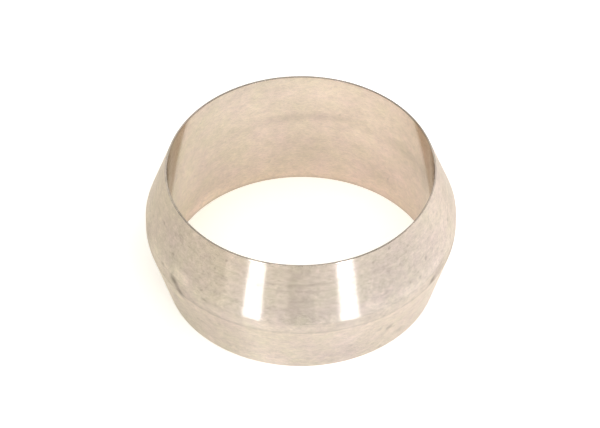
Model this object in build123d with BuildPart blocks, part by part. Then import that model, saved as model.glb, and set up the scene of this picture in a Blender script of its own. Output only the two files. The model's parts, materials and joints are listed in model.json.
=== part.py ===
"""A compression ring for a 15 mm pipe: one turned metal ring with a plain bore and a double cone.

The ring stands on its lower end face, centred on the origin, with the bore along +Z.
All sizes are in millimetres.
"""

import os

from build123d import *

# Pipe and bore
pipe_diameter = 15.0  # outside diameter of the pipe that the ring grips
bore_clearance = 0.05  # gap all round, so that the ring slides onto the pipe by hand

# Wall, measured outwards from the bore
end_wall = 0.10  # flat rim left at each end of the bore
land_wall = 1.225  # thickest place, at the narrow cylindrical land

# Lengths along the bore, from the lower end upwards
lower_cone_length = 3.75
land_length = 0.70
upper_cone_length = 3.50

# Edges
land_edge_radius = 0.08  # rounding where each cone meets the land
end_edge_radius = 0.02  # burr taken off the rims of both end faces

# Radii and heights of the turned section
bore_radius = pipe_diameter / 2 + bore_clearance
end_radius = bore_radius + end_wall
land_radius = bore_radius + land_wall
land_bottom = lower_cone_length
land_top = land_bottom + land_length
ring_length = land_top + upper_cone_length

os.makedirs("parts", exist_ok=True)

# Compression ring
with BuildPart() as compression_ring:
    with BuildSketch(Plane.XZ) as section:
        with BuildLine():
            Polyline(
                (bore_radius, 0),
                (end_radius, 0),
                (land_radius, land_bottom),
                (land_radius, land_top),
                (end_radius, ring_length),
                (bore_radius, ring_length),
                close=True,
            )
        make_face()
        land_corners = section.vertices().group_by(Axis.X)[-1]
        end_corners = section.vertices() - land_corners
        fillet(land_corners, radius=land_edge_radius)
        fillet(end_corners, radius=end_edge_radius)
    revolve(axis=Axis.Z)

compression_ring.part.label = "compression_ring"
export_step(compression_ring.part, "parts/compression_ring.step")
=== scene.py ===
"""The looks of the compression ring: its turned metal surface, a pale table, soft light and the camera.

Places are in metres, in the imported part's own frame: the ring stands on z = 0 with its bore along +Z,
and the photograph looks along +Y and down. The marks on the metal are listed in millimetres. Azimuths
are in degrees from the viewer's side towards +X.
"""

import json
import math
import random
from typing import NamedTuple

import bpy
from mathutils import Matrix, Vector, noise


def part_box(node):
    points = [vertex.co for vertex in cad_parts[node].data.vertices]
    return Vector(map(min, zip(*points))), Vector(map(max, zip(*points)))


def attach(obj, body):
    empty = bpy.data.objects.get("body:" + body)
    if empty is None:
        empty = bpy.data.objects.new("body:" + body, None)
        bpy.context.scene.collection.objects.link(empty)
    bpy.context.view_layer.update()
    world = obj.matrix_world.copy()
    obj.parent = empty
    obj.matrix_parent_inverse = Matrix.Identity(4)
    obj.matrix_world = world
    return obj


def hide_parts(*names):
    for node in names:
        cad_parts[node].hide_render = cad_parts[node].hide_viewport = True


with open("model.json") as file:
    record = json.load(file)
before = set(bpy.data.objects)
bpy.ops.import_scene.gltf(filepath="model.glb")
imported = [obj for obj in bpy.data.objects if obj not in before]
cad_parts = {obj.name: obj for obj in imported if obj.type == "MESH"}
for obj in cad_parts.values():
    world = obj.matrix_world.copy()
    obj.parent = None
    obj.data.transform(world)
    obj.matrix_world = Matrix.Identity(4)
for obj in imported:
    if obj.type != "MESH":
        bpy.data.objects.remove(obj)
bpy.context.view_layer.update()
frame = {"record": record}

MM = 0.001
WHITE = (1, 1, 1)
RING = "compression_ring"

# The places of the two metals among the ring's materials
BORE, OUTSIDE = 0, 1

# The ring's section, as in the part
low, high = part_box(RING)
mounts = {mount["name"]: mount for mount in frame["record"]["mounts"]}
bore_radius = mounts["pipe_bore"]["dims"]["r_mm"] * MM
land_radius = (high.x - low.x) / 2
ring_length = high.z - low.z
end_wall = 0.10 * MM
end_radius = bore_radius + end_wall
land_bottom = 3.75 * MM
land_length = 0.70 * MM
land_top = land_bottom + land_length
land_edge_radius = 0.08 * MM
end_edge_radius = 0.02 * MM

# Mesh fineness
COLUMNS = 480
ARC_ROWS = 5
# Each corner of the section: radius, height, rounding, and the rows along the run that follows it
CORNERS = (
    (bore_radius, 0, end_edge_radius, 2),
    (end_radius, 0, end_edge_radius, 44),
    (land_radius, land_bottom, land_edge_radius, 9),
    (land_radius, land_top, land_edge_radius, 60),
    (end_radius, ring_length, end_edge_radius, 2),
    (bore_radius, ring_length, end_edge_radius, 48),
)
# How far a normal leans inwards on the bore's wall, and both inwards and up on its rounded upper edge
BORE_LEAN, EDGE_LEAN = 0.7, 0.05

# The land's upper edge wanders a little round the ring: azimuth and rise in mm
EDGE_RISE = (
    (-180, 0.0), (-120, 0.03), (-85, 0.06), (-55, 0.10), (-18, 0.0), (18, -0.07),
    (45, -0.12), (65, -0.06), (90, 0.18), (115, 0.18), (150, 0.05), (180, 0.0),
)
LARGEST_RISE = max(abs(rise) for azimuth, rise in EDGE_RISE)
# The share of that rise which each height in mm on the outside takes
EDGE_SHARES = ((0, 0), (land_bottom / MM, 0), (land_top / MM, 1), (ring_length / MM, 0))

# How much the metal is lightened or darkened at each height in mm, against its mean: painted light and
# shade that evens out its reflections by height
OUTSIDE_SHADING_BY_HEIGHT = (
    (0.0, 1.13), (0.8, 1.09), (2.4, 1.07), (3.6, 1.11), (3.75, 0.96),
    (4.45, 0.96), (4.6, 0.99), (4.9, 0.97), (5.2, 0.91), (7.95, 0.91),
)
# Inside the bore: painted reflection that brightens towards the top, and a painted contact shadow in the
# lowest 0.2 mm
BORE_SHADING_BY_HEIGHT = (
    (0.0, 0.80), (0.1, 0.80), (0.2, 1.02), (0.8, 0.99), (1.5, 0.97),
    (3.0, 0.98), (4.5, 1.02), (6.3, 1.10), (7.2, 1.11), (7.95, 1.11),
)
# A painted shade on the rounded upper edge of the bore: it dims the lamps' glints there and draws a dark
# line along the rim
BORE_EDGE_SHADE = 0.4

# Circular tool marks: height, half width and depth in mm, and the share of light that each takes, as a
# darker line along it
OUTSIDE_GROOVES = (
    (6.83, 0.07, 0.003, 0.13),
    (6.42, 0.06, 0.002, 0.10),
    (5.85, 0.05, 0.002, 0.06),
    (5.30, 0.05, 0.002, 0.06),
    (4.47, 0.06, 0.004, 0.08),
    (3.75, 0.07, 0.012, 0.16),
    (2.90, 0.05, 0.003, 0.03),
    (1.40, 0.05, 0.003, 0.03),
)
BORE_GROOVES = (
    (4.72, 0.40, 0.001, 0.015),
    (3.15, 0.12, 0.002, 0.030),
    (2.00, 0.60, 0.000, 0.010),
)
# The grooves' darkening comes and goes round the ring: how large a circle it takes through a noise, one
# for each groove
PATCH_CIRCLE = 2.2
PATCH_SEED_STEP = 7
LEAST_PATCH, MEAN_PATCH, PATCH_SWING = 0.2, 0.6, 0.8


class Mark(NamedTuple):
    """A knock, stain, speck or patch of painted reflection on a wall of the ring, with its sizes in mm."""

    azimuth: float
    height: float
    half_length: float  # along the ring
    half_width: float
    slant: float  # height gained per length along the ring
    depth: float
    darkening: float  # the share of light that it takes or, below 0, adds


class Wall(NamedTuple):
    """What is on one side of the ring's section."""

    tones_and_shading: tuple
    grooves: tuple
    marks: list


# Marks that the photograph shows, row by row
KNOCKS = (
    (-54.6, 4.28, 0.62, 0.46, -0.30, 0.030, 0.54),
    (-51.0, 3.74, 0.50, 0.46, -0.35, 0.030, 0.52),
    (-62.7, 4.58, 0.26, 0.14, 0.0, 0.012, 0.30),
    (-51.6, 4.98, 1.05, 0.48, -0.25, 0.004, -0.15),
    (-53.5, 3.05, 0.90, 0.30, 0.0, 0.004, -0.14),
    (-57.0, 4.68, 1.50, 0.14, 0.0, 0.002, -0.10),
    (-38.5, 4.54, 0.36, 0.13, 0.0, 0.010, 0.24),
    (57.4, 3.88, 0.50, 0.32, 0.2, 0.030, 0.46),
    (63.0, 4.12, 1.20, 0.50, 0.1, 0.012, 0.22),
    (36.7, 2.06, 0.38, 0.36, 0.3, 0.012, 0.34),
    (32.0, 2.36, 0.20, 0.20, 0.2, 0.008, 0.22),
    (34.6, 0.26, 0.30, 0.18, 0.0, 0.010, 0.30),
    (56.5, 5.58, 0.17, 0.15, 0.0, 0.006, 0.34),
    (50.9, 4.85, 0.15, 0.14, 0.0, 0.006, 0.28),
    (34.5, 5.27, 0.20, 0.12, 0.0, 0.006, 0.26),
    (49.0, 7.10, 0.14, 0.13, 0.0, 0.006, 0.32),
)
# Broad pale and dark patches on the outside: partly stains, partly painted reflections of the room's light
# and shade
STAINS_AND_REFLECTIONS = (
    (-58.0, 2.50, 0.60, 0.45, 1.0, 0.0, 0.18),
    (44.2, 0.98, 0.45, 0.40, -0.5, 0.0, 0.15),
    (-14.0, 1.80, 2.60, 2.70, 0.0, 0.0, -0.11),
    (-14.0, 0.35, 1.70, 0.80, 0.0, 0.0, -0.09),
    (-57.0, 0.80, 2.40, 1.60, 0.0, 0.0, 0.10),
    (19.0, 1.00, 1.80, 1.30, 0.0, 0.0, 0.11),
    (-20.0, 4.10, 4.20, 0.50, 0.0, 0.0, -0.15),
    (20.0, 4.15, 2.20, 0.50, 0.0, 0.0, 0.07),
    (0.0, 4.80, 2.30, 0.45, 0.0, 0.0, 0.07),
    (42.0, 6.90, 3.40, 2.40, 0.0, 0.0, 0.08),
    (76.0, 3.75, 1.60, 0.75, 0.0, 0.0, 0.26),
    (-80.0, 4.30, 1.00, 1.10, 0.0, 0.0, 0.24),
    (-68.0, 4.40, 1.50, 0.80, 0.0, 0.0, -0.12),
    (-27.0, 6.60, 0.80, 2.40, 0.0, 0.0, -0.10),
    (27.0, 4.90, 0.90, 0.50, 0.0, 0.0, -0.08),
    (76.0, 6.20, 2.20, 3.00, 0.0, 0.0, -0.09),
)
# The same inside the bore: partly stains, partly painted reflections of the room's light and shade
BORE_STAINS_AND_REFLECTIONS = (
    (180.0, 4.82, 6.40, 0.50, -0.07, 0.0, 0.11),
    (130.0, 4.85, 2.40, 0.65, 0.0, 0.0, 0.09),
    (150.0, 3.90, 1.90, 0.90, 0.0, 0.0, -0.08),
    (172.0, 7.10, 3.20, 1.60, 0.0, 0.0, -0.08),
    (-160.0, 4.50, 1.40, 5.00, 0.0, 0.0, -0.05),
    (-120.0, 3.00, 1.60, 3.20, 0.0, 0.0, -0.11),
    (-140.0, 1.20, 0.80, 0.70, 0.0, 0.0, 0.04),
    (-131.0, 0.30, 2.60, 0.80, 0.0, 0.0, -0.16),
    (143.0, 1.60, 1.80, 1.10, 0.0, 0.0, 0.09),
    (114.0, 4.80, 2.60, 1.60, 0.0, 0.0, 0.10),
    (122.0, 5.60, 2.80, 4.20, 0.0, 0.0, 0.09),
    (178.0, 2.00, 2.60, 1.90, 0.0, 0.0, 0.07),
    (111.0, 4.60, 0.90, 2.20, 0.0, 0.0, 0.12),
)
# Random specks lie and measure between these, in mm
SPECK_HEIGHTS = (0.2, 7.7)
SPECK_HALF_LENGTHS = (0.09, 0.17)
SPECK_HALF_WIDTHS = (0.08, 0.14)

# The way in which the metal's colour drifts: a direction, and where along it the drift starts and ends
OUTSIDE_DRIFT = ((0, 0, 1), 0, ring_length)
BORE_DRIFT = ((-0.5, 0, 0.87), -1.5 * MM, 9.1 * MM)

# The metal's patterns, which follow noises whose values lie mostly within this span
NOISE_SPAN = (0.3, 0.7)
BLOTCH_SIZE = 0.6 * MM
GRAIN_SIZE = 0.25 * MM
GLOSS_SIZE = 0.3 * MM
GLOSS_SPREAD = 0.02
TINT_SIZE = 1.4 * MM
TINTS = ((0.985, 1.005, 0.95), (1.005, 0.975, 1.0))
TURNING_PITCH = 0.06 * MM
TURNING_DEPTH = 0.0004 * MM
QUARTER_TURN = 0.25

# The table and the glow painted onto it, dimmer on the left as a painted shade, from one side of the ring
# to the other
TABLE_REACH = 1.5
GLOW_DIRECTION = (1, 0, 0)
LEFT_GLOW, RIGHT_GLOW = (0.472, 0.437, 0.345), (0.960, 0.940, 0.980)
GLOW_START, GLOW_END = -25 * MM, 40 * MM
# A painted contact shadow on the table inside the bore: the share of the glow left at each distance from
# the axis, dimmer and warmer towards the wall
BORE_TABLE_SHADOW = (
    (0, (1, 1, 0.93)),
    (6.3 * MM, (0.99, 0.98, 0.89)),
    (7.5 * MM, (0.95, 0.92, 0.80)),
    (end_radius, WHITE),
)

# The light
LIGHT_DISTANCE = 0.6
ROOM_LIGHT = 0.2
STREAK_AZIMUTH = math.radians(18.5)
LAMP_ELEVATION = 6
LAMP_HEIGHT = 0.08
LAMP_COLOUR = (0.94, 0.98, 1.12)
FAR_GLOW_COLOUR = (1.08, 1, 0.85)

# The photograph's view
IMAGE_WIDTH, IMAGE_HEIGHT = 600, 428
CAMERA_ELEVATION = math.radians(44.65)
CAMERA_ROLL = math.radians(0.25)
CAMERA_DISTANCE = 679.5 * MM
PIXELS_PER_METRE = 17683
RING_CENTRE_PIXEL = (300.9, 220.5)
SENSOR_WIDTH = 36


def section_rows():
    """The section's outline as (point, outward normal) pairs in (radius, height), its corners rounded."""
    points = [Vector((radius, height)) for radius, height, _, _ in CORNERS]
    count = len(points)
    runs = [(points[(i + 1) % count] - points[i]).normalized() for i in range(count)]
    normals = [Vector((run.y, -run.x)) for run in runs]
    arcs = []
    for i, (_, _, rounding, _) in enumerate(CORNERS):
        before, after = normals[i - 1], normals[i]
        turn = before.angle_signed(after)
        setback = rounding * math.tan(abs(turn) / 2)
        centre = points[i] - runs[i - 1] * setback - before * rounding
        arc = []
        for step in range(ARC_ROWS + 1):
            normal = before.slerp(after, step / ARC_ROWS)
            arc.append((centre + normal * rounding, normal))
        arcs.append(arc)
    rows = []
    for i, (_, _, _, run_rows) in enumerate(CORNERS):
        rows += arcs[i]
        start, end = arcs[i][-1][0], arcs[(i + 1) % count][0][0]
        for step in range(1, run_rows):
            rows.append((start.lerp(end, step / run_rows), normals[i]))
    return rows


def on_bore(normal):
    """Whether a place with this normal on the section belongs to the bore's wall."""
    return normal.x < -BORE_LEAN


def on_bore_edge(normal):
    """Whether a place with this normal on the section is on the rounded upper edge of the bore."""
    return normal.x < -EDGE_LEAN and normal.y > EDGE_LEAN


def between(points, x):
    """The value at x on the line through the (x, value) points."""
    for (x0, y0), (x1, y1) in zip(points, points[1:]):
        if x <= x1:
            return y0 + (y1 - y0) * (x - x0) / (x1 - x0)
    return points[-1][1]


def hump(distance):
    """A smooth rise to 1 in the middle, which ends at a distance of 1."""
    return max(0, 1 - distance * distance) ** 2


def patchy(azimuth, seed):
    """A share that comes and goes along the ring, from the least one to 1."""
    angle = math.radians(azimuth)
    value = noise.noise(Vector((PATCH_CIRCLE * math.cos(angle), PATCH_CIRCLE * math.sin(angle), seed)))
    return min(1, max(LEAST_PATCH, MEAN_PATCH + PATCH_SWING * value))


def scatter_specks(seed, count, darkest):
    """Small dark specks at random places on a wall, as marks without depth."""
    draw = random.Random(seed)
    specks = []
    for _ in range(count):
        azimuth, height = draw.uniform(-180, 180), draw.uniform(*SPECK_HEIGHTS)
        half_length, half_width = draw.uniform(*SPECK_HALF_LENGTHS), draw.uniform(*SPECK_HALF_WIDTHS)
        darkening = darkest * draw.random() ** 2
        specks.append(Mark(azimuth, height, half_length, half_width, slant=0, depth=0, darkening=darkening))
    return specks


def wander(height, azimuth):
    """Where a height in mm on the outside comes to lie, since the land's upper edge isn't quite true."""
    turn = (azimuth + 180) % 360 - 180
    return height + between(EDGE_SHARES, height) * between(EDGE_RISE, turn)


def groove_at(grooves, height, azimuth):
    """The depth in mm and the darkening of the circular tool marks at a place."""
    depth, darkening = 0, 0
    for i, (middle, half_width, groove_depth, groove_darkening) in enumerate(grooves):
        reach = hump((height - middle) / half_width)
        if reach:
            depth += groove_depth * reach
            darkening += groove_darkening * reach * patchy(azimuth, PATCH_SEED_STEP * i)
    return depth, darkening


def marks_near(marks, height):
    """The marks that can reach a height in mm, also where the land's edge has moved it."""
    near = []
    for mark in marks:
        reach = mark.half_width + abs(mark.slant) * mark.half_length + LARGEST_RISE
        if abs(height - mark.height) <= reach:
            near.append(mark)
    return near


def mark_at(marks, radius, height, azimuth):
    """The depth in mm and the darkening of the marks at a place, on a wall of this radius in mm, painted
    light and shade of the broad patches included.
    """
    depth, darkening = 0, 0
    for mark in marks:
        along = math.radians((azimuth - mark.azimuth + 180) % 360 - 180) * radius
        across = height - mark.height - mark.slant * along
        reach = hump(math.hypot(along / mark.half_length, across / mark.half_width))
        depth += mark.depth * reach
        darkening += mark.darkening * reach
    return depth, darkening


def ring_surface(rows):
    """The mesh's vertices, row by row of the section, and how light the metal is made at each of them,
    painted light and shade included.
    """
    outside_marks = [Mark(*row) for row in (*KNOCKS, *STAINS_AND_REFLECTIONS)]
    outside_marks += scatter_specks(seed=178, count=260, darkest=0.38)
    bore_marks = [Mark(*row) for row in BORE_STAINS_AND_REFLECTIONS]
    bore_marks += scatter_specks(seed=5, count=180, darkest=0.22)
    outside = Wall(OUTSIDE_SHADING_BY_HEIGHT, OUTSIDE_GROOVES, outside_marks)
    bore = Wall(BORE_SHADING_BY_HEIGHT, BORE_GROOVES, bore_marks)
    vertices, tones_and_shading = [], []
    for point, normal in rows:
        inside = on_bore(normal)
        wall = bore if inside else outside
        height = point.y / MM
        tone_and_shading = BORE_EDGE_SHADE if on_bore_edge(normal) else between(wall.tones_and_shading, height)
        marks = marks_near(wall.marks, height)
        for column in range(COLUMNS):
            azimuth = 360 * column / COLUMNS
            placed = height if inside else wander(height, azimuth)
            groove_depth, groove_darkening = groove_at(wall.grooves, height, azimuth)
            mark_depth, mark_darkening = mark_at(marks, point.x / MM, placed, azimuth)
            depth = (groove_depth + mark_depth) * MM
            radius = point.x - normal.x * depth
            angle = math.radians(azimuth)
            x, y = radius * math.sin(angle), -radius * math.cos(angle)
            vertices.append((x, y, placed * MM - normal.y * depth))
            tones_and_shading.append(tone_and_shading * (1 - groove_darkening - mark_darkening))
    return vertices, tones_and_shading


def ring_faces(row_count):
    """Faces from each row of vertices to the next, all round the section."""
    faces = []
    for row in range(row_count):
        below, above = row * COLUMNS, (row + 1) % row_count * COLUMNS
        for column in range(COLUMNS):
            beside = (column + 1) % COLUMNS
            faces.append((below + column, below + beside, above + beside, above + column))
    return faces


def make_ring():
    """A fine closed mesh of the turned ring, with its tool marks and knocks."""
    rows = section_rows()
    vertices, tones_and_shading = ring_surface(rows)
    mesh = bpy.data.meshes.new("turned_ring")
    mesh.from_pydata(vertices, [], ring_faces(len(rows)))
    mesh.shade_smooth()
    mesh.attributes.new("tone_and_shading", "FLOAT", "POINT").data.foreach_set("value", tones_and_shading)
    bored = [on_bore(normal) for _, normal in rows]
    for face in mesh.polygons:
        row = face.index // COLUMNS
        inside = bored[row] and bored[(row + 1) % len(rows)]
        face.material_index = BORE if inside else OUTSIDE
    ring = bpy.data.objects.new("turned_ring", mesh)
    bpy.context.scene.collection.objects.link(ring)
    return ring


class Nodes:
    """A few shorthands for a material's nodes."""

    def __init__(self, material):
        material.use_nodes = True
        self.tree = material.node_tree
        self.shader = self.tree.nodes["Principled BSDF"]
        self.place = self.tree.nodes.new("ShaderNodeTexCoord").outputs["Object"]

    def set(self, **values):
        """Sets the shader's inputs, with underscores for the spaces in their names."""
        for name, value in values.items():
            self.shader.inputs[name.replace("_", " ")].default_value = value

    def link(self, output, name):
        """Links an output to the shader's input of this name."""
        self.tree.links.new(output, self.shader.inputs[name])

    def noise(self, size, detail, roughness, flatness=1):
        """Noise whose largest blotches are about this long, and as much lower as the flatness says."""
        squeeze = self.tree.nodes.new("ShaderNodeVectorMath")
        squeeze.operation = "MULTIPLY"
        squeeze.inputs[1].default_value = (1, 1, flatness)
        self.tree.links.new(self.place, squeeze.inputs[0])
        node = self.tree.nodes.new("ShaderNodeTexNoise")
        node.inputs["Scale"].default_value = 1 / size
        node.inputs["Detail"].default_value = detail
        node.inputs["Roughness"].default_value = roughness
        self.tree.links.new(squeeze.outputs["Vector"], node.inputs["Vector"])
        return node.outputs["Fac"]

    def along(self, direction, first, last):
        """How far along a direction each place is, from 0 at the first distance to 1 at the last."""
        dot = self.tree.nodes.new("ShaderNodeVectorMath")
        dot.operation = "DOT_PRODUCT"
        dot.inputs[1].default_value = direction
        self.tree.links.new(self.place, dot.inputs[0])
        return self.span(dot.outputs["Value"], (first, last), (0, 1))

    def radius(self, last):
        """How far from the axis each place on the table is, from 0 to 1 at the last distance."""
        length = self.tree.nodes.new("ShaderNodeVectorMath")
        length.operation = "LENGTH"
        self.tree.links.new(self.place, length.inputs[0])
        return self.span(length.outputs["Value"], (0, last), (0, 1))

    def lines(self, size):
        """Noise that changes with height alone, as tool marks do."""
        node = self.tree.nodes.new("ShaderNodeTexNoise")
        node.noise_dimensions = "1D"
        node.inputs["Scale"].default_value = 1
        node.inputs["Detail"].default_value = 2
        self.tree.links.new(self.along((0, 0, 1), 0, size), node.inputs["W"])
        return node.outputs["Fac"]

    def ramp(self, value, *stops):
        """Colours along a value, as (position, colour) stops."""
        node = self.tree.nodes.new("ShaderNodeValToRGB")
        elements = node.color_ramp.elements
        while len(elements) < len(stops):
            elements.new(0.5)
        for element, (position, colour) in zip(elements, stops):
            element.position = position
            element.color = (*colour, 1)
        self.tree.links.new(value, node.inputs["Fac"])
        return node.outputs["Color"]

    def greys(self, value, spread):
        """Greys about 1 that follow a noise, with this much spread to either side."""
        return self.ramp(value, (0.25, [1 - spread] * 3), (0.75, [1 + spread] * 3))

    def times(self, first, *others):
        """Colours multiplied with one another."""
        for other in others:
            node = self.tree.nodes.new("ShaderNodeMix")
            node.data_type, node.blend_type = "RGBA", "MULTIPLY"
            node.inputs["Factor"].default_value = 1
            self.tree.links.new(first, node.inputs["A"])
            self.tree.links.new(other, node.inputs["B"])
            first = node.outputs["Result"]
        return first

    def span(self, value, old, new):
        """A value moved from one span, as (low, high), to another, also beyond its ends."""
        node = self.tree.nodes.new("ShaderNodeMapRange")
        node.clamp = False
        for name, end in zip(("From Min", "From Max", "To Min", "To Max"), (*old, *new)):
            node.inputs[name].default_value = end
        self.tree.links.new(value, node.inputs["Value"])
        return node.outputs["Result"]

    def attribute(self, name):
        """The value that the mesh holds at each place under this name."""
        node = self.tree.nodes.new("ShaderNodeAttribute")
        node.attribute_name = name
        return node.outputs["Color"]

    def bump(self, height, distance):
        """Raises the surface by up to this distance where the height is 1."""
        node = self.tree.nodes.new("ShaderNodeBump")
        node.inputs["Distance"].default_value = distance
        self.tree.links.new(height, node.inputs["Height"])
        self.link(node.outputs["Normal"], "Normal")

    def radial_tangent(self):
        """Lays the shader's tangent round the ring's axis."""
        node = self.tree.nodes.new("ShaderNodeTangent")
        node.direction_type, node.axis = "RADIAL", "Z"
        self.link(node.outputs["Tangent"], "Tangent")


def metal(name, first_colour, last_colour, drift, grazing, mottle, grain, roughness, anisotropic):
    """A turned metal with faint stains, a fine grain and the painted light and shade that the mesh holds,
    whose gloss spreads across the tool marks.
    """
    material = bpy.data.materials.new(name)
    nodes = Nodes(material)
    nodes.set(Metallic=1, Specular_Tint=(*grazing, 1))
    nodes.set(Anisotropic=anisotropic, Anisotropic_Rotation=QUARTER_TURN)
    nodes.radial_tangent()
    bare = nodes.ramp(nodes.along(*drift), (0, first_colour), (1, last_colour))
    blotches = nodes.greys(nodes.noise(BLOTCH_SIZE, detail=3, roughness=0.8, flatness=1.5), mottle)
    grains = nodes.greys(nodes.noise(GRAIN_SIZE, detail=2, roughness=0.7, flatness=3), grain)
    tints = nodes.ramp(nodes.noise(TINT_SIZE, detail=3, roughness=0.6), *zip(NOISE_SPAN, TINTS))
    nodes.link(nodes.times(bare, blotches, grains, tints, nodes.attribute("tone_and_shading")), "Base Color")
    gloss = nodes.noise(GLOSS_SIZE, detail=2, roughness=0.6)
    rough_span = (roughness - GLOSS_SPREAD, roughness + GLOSS_SPREAD)
    nodes.link(nodes.span(gloss, NOISE_SPAN, rough_span), "Roughness")
    nodes.bump(nodes.lines(TURNING_PITCH), TURNING_DEPTH)
    return material


def make_floor():
    """A plain pale table that glows a little, more on the right: painted light that stands in for the
    light falling on it, with a painted shade on the left.
    """
    corners = [(x * TABLE_REACH, y * TABLE_REACH, 0) for x, y in ((-1, -1), (1, -1), (1, 1), (-1, 1))]
    mesh = bpy.data.meshes.new("floor")
    mesh.from_pydata(corners, [], [(0, 1, 2, 3)])
    floor = bpy.data.objects.new("floor", mesh)
    bpy.context.scene.collection.objects.link(floor)
    material = bpy.data.materials.new("pale_table")
    nodes = Nodes(material)
    nodes.set(Base_Color=(0.8, 0.8, 0.8, 1), Roughness=1, Specular_IOR_Level=0, Emission_Strength=1)
    glow = nodes.ramp(nodes.along(GLOW_DIRECTION, GLOW_START, GLOW_END), (0, LEFT_GLOW), (1, RIGHT_GLOW))
    glow.node.color_ramp.interpolation = "EASE"
    # The painted contact shadow inside the bore
    shares = [(distance / end_radius, share) for distance, share in BORE_TABLE_SHADOW]
    nodes.link(nodes.times(glow, nodes.ramp(nodes.radius(end_radius), *shares)), "Emission Color")
    mesh.materials.append(material)


def area_light(name, azimuth, elevation, size, radiance, across=None, colour=WHITE):
    """A rectangular light that faces the ring, with its width level or along the direction across."""
    width, height = size
    a, e = math.radians(azimuth), math.radians(elevation)
    away = Vector((math.sin(a) * math.cos(e), -math.cos(a) * math.cos(e), math.sin(e)))
    side = Vector(across or (math.cos(a), math.sin(a), 0))
    side = (side - side.dot(away) * away).normalized()
    data = bpy.data.lights.new(name, "AREA")
    data.shape = "RECTANGLE"
    data.size, data.size_y = width, height
    data.color = colour
    data.energy = radiance * math.pi * width * height
    light = bpy.data.objects.new(name, data)
    turn = Matrix((side, away.cross(side), away)).transposed().to_4x4()
    place = away * LIGHT_DISTANCE + Vector((0, 0, ring_length / 2))
    light.matrix_world = Matrix.Translation(place) @ turn
    light.visible_camera = False
    bpy.context.scene.collection.objects.link(light)


def make_light():
    """Two soft lamps beside the camera, whose streaks the ring shows, panels round it and a dim room."""
    for name, side, lamp, near, far in (("left", -1, 18.0, 2.8, 2.2), ("right", 1, 19.5, 1.1, 0.1)):
        across = (math.cos(STREAK_AZIMUTH), side * math.sin(STREAK_AZIMUTH), 0)
        area_light("lamp_" + name, side * 31.6, LAMP_ELEVATION, (0.125, LAMP_HEIGHT), lamp, across,
                   colour=LAMP_COLOUR)
        area_light("glow_near_" + name, side * 31, LAMP_ELEVATION, (0.49, LAMP_HEIGHT), near, across)
        area_light("glow_far_" + name, side * 70, LAMP_ELEVATION, (0.45, LAMP_HEIGHT), far,
                   colour=FAR_GLOW_COLOUR)
    area_light("back", azimuth=180, elevation=45, size=(1.0, 0.12), radiance=1.0)
    area_light("right_low", azimuth=125, elevation=12, size=(0.6, 0.25), radiance=0.4, colour=(1.06, 1, 1))
    area_light("right_high", azimuth=110, elevation=45, size=(0.4, 0.3), radiance=2.1, colour=(1.10, 1, 1))
    area_light("front_high", azimuth=0, elevation=50, size=(0.4, 0.3), radiance=2.85)
    area_light("overhead", azimuth=180, elevation=90, size=(0.6, 0.6), radiance=1.17)
    world = bpy.data.worlds.new("room")
    world.use_nodes = True
    background = world.node_tree.nodes["Background"]
    background.inputs["Color"].default_value = (*WHITE, 1)
    background.inputs["Strength"].default_value = ROOM_LIGHT
    bpy.context.scene.world = world


def make_camera():
    """The photograph's view: a long lens, looking down on the ring from the front."""
    data = bpy.data.cameras.new("camera")
    data.sensor_width = SENSOR_WIDTH
    data.lens = PIXELS_PER_METRE * CAMERA_DISTANCE * SENSOR_WIDTH / IMAGE_WIDTH
    data.clip_start, data.clip_end = 0.01, 10
    back = Vector((0, -math.cos(CAMERA_ELEVATION), math.sin(CAMERA_ELEVATION)))
    level, upright = Vector((1, 0, 0)), Vector((0, back.z, -back.y))
    right = level * math.cos(CAMERA_ROLL) - upright * math.sin(CAMERA_ROLL)
    up = level * math.sin(CAMERA_ROLL) + upright * math.cos(CAMERA_ROLL)
    aside = (IMAGE_WIDTH / 2 - RING_CENTRE_PIXEL[0]) / PIXELS_PER_METRE
    above = (RING_CENTRE_PIXEL[1] - IMAGE_HEIGHT / 2) / PIXELS_PER_METRE
    aim = Vector((0, 0, ring_length / 2)) + right * aside + up * above
    camera = bpy.data.objects.new("camera", data)
    turn = Matrix((right, up, back)).transposed().to_4x4()
    camera.matrix_world = Matrix.Translation(aim + back * CAMERA_DISTANCE) @ turn
    bpy.context.scene.collection.objects.link(camera)
    bpy.context.scene.camera = camera


ring = make_ring()
bored_metal = metal(
    "bored_metal", first_colour=(0.612, 0.498, 0.430), last_colour=(0.572, 0.508, 0.450),
    drift=BORE_DRIFT, grazing=(0.85, 0.84, 0.81),
    mottle=0.10, grain=0.08, roughness=0.13, anisotropic=0.5,
)
turned_metal = metal(
    "turned_metal", first_colour=(0.550, 0.497, 0.449), last_colour=(0.571, 0.496, 0.421),
    drift=OUTSIDE_DRIFT, grazing=(0.88, 0.84, 0.77),
    mottle=0.13, grain=0.09, roughness=0.21, anisotropic=1.0,
)
ring.data.materials.append(bored_metal)
ring.data.materials.append(turned_metal)
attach(ring, "root")
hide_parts(RING)

make_floor()
make_light()
make_camera()
bpy.context.scene.view_settings.view_transform = "Standard"
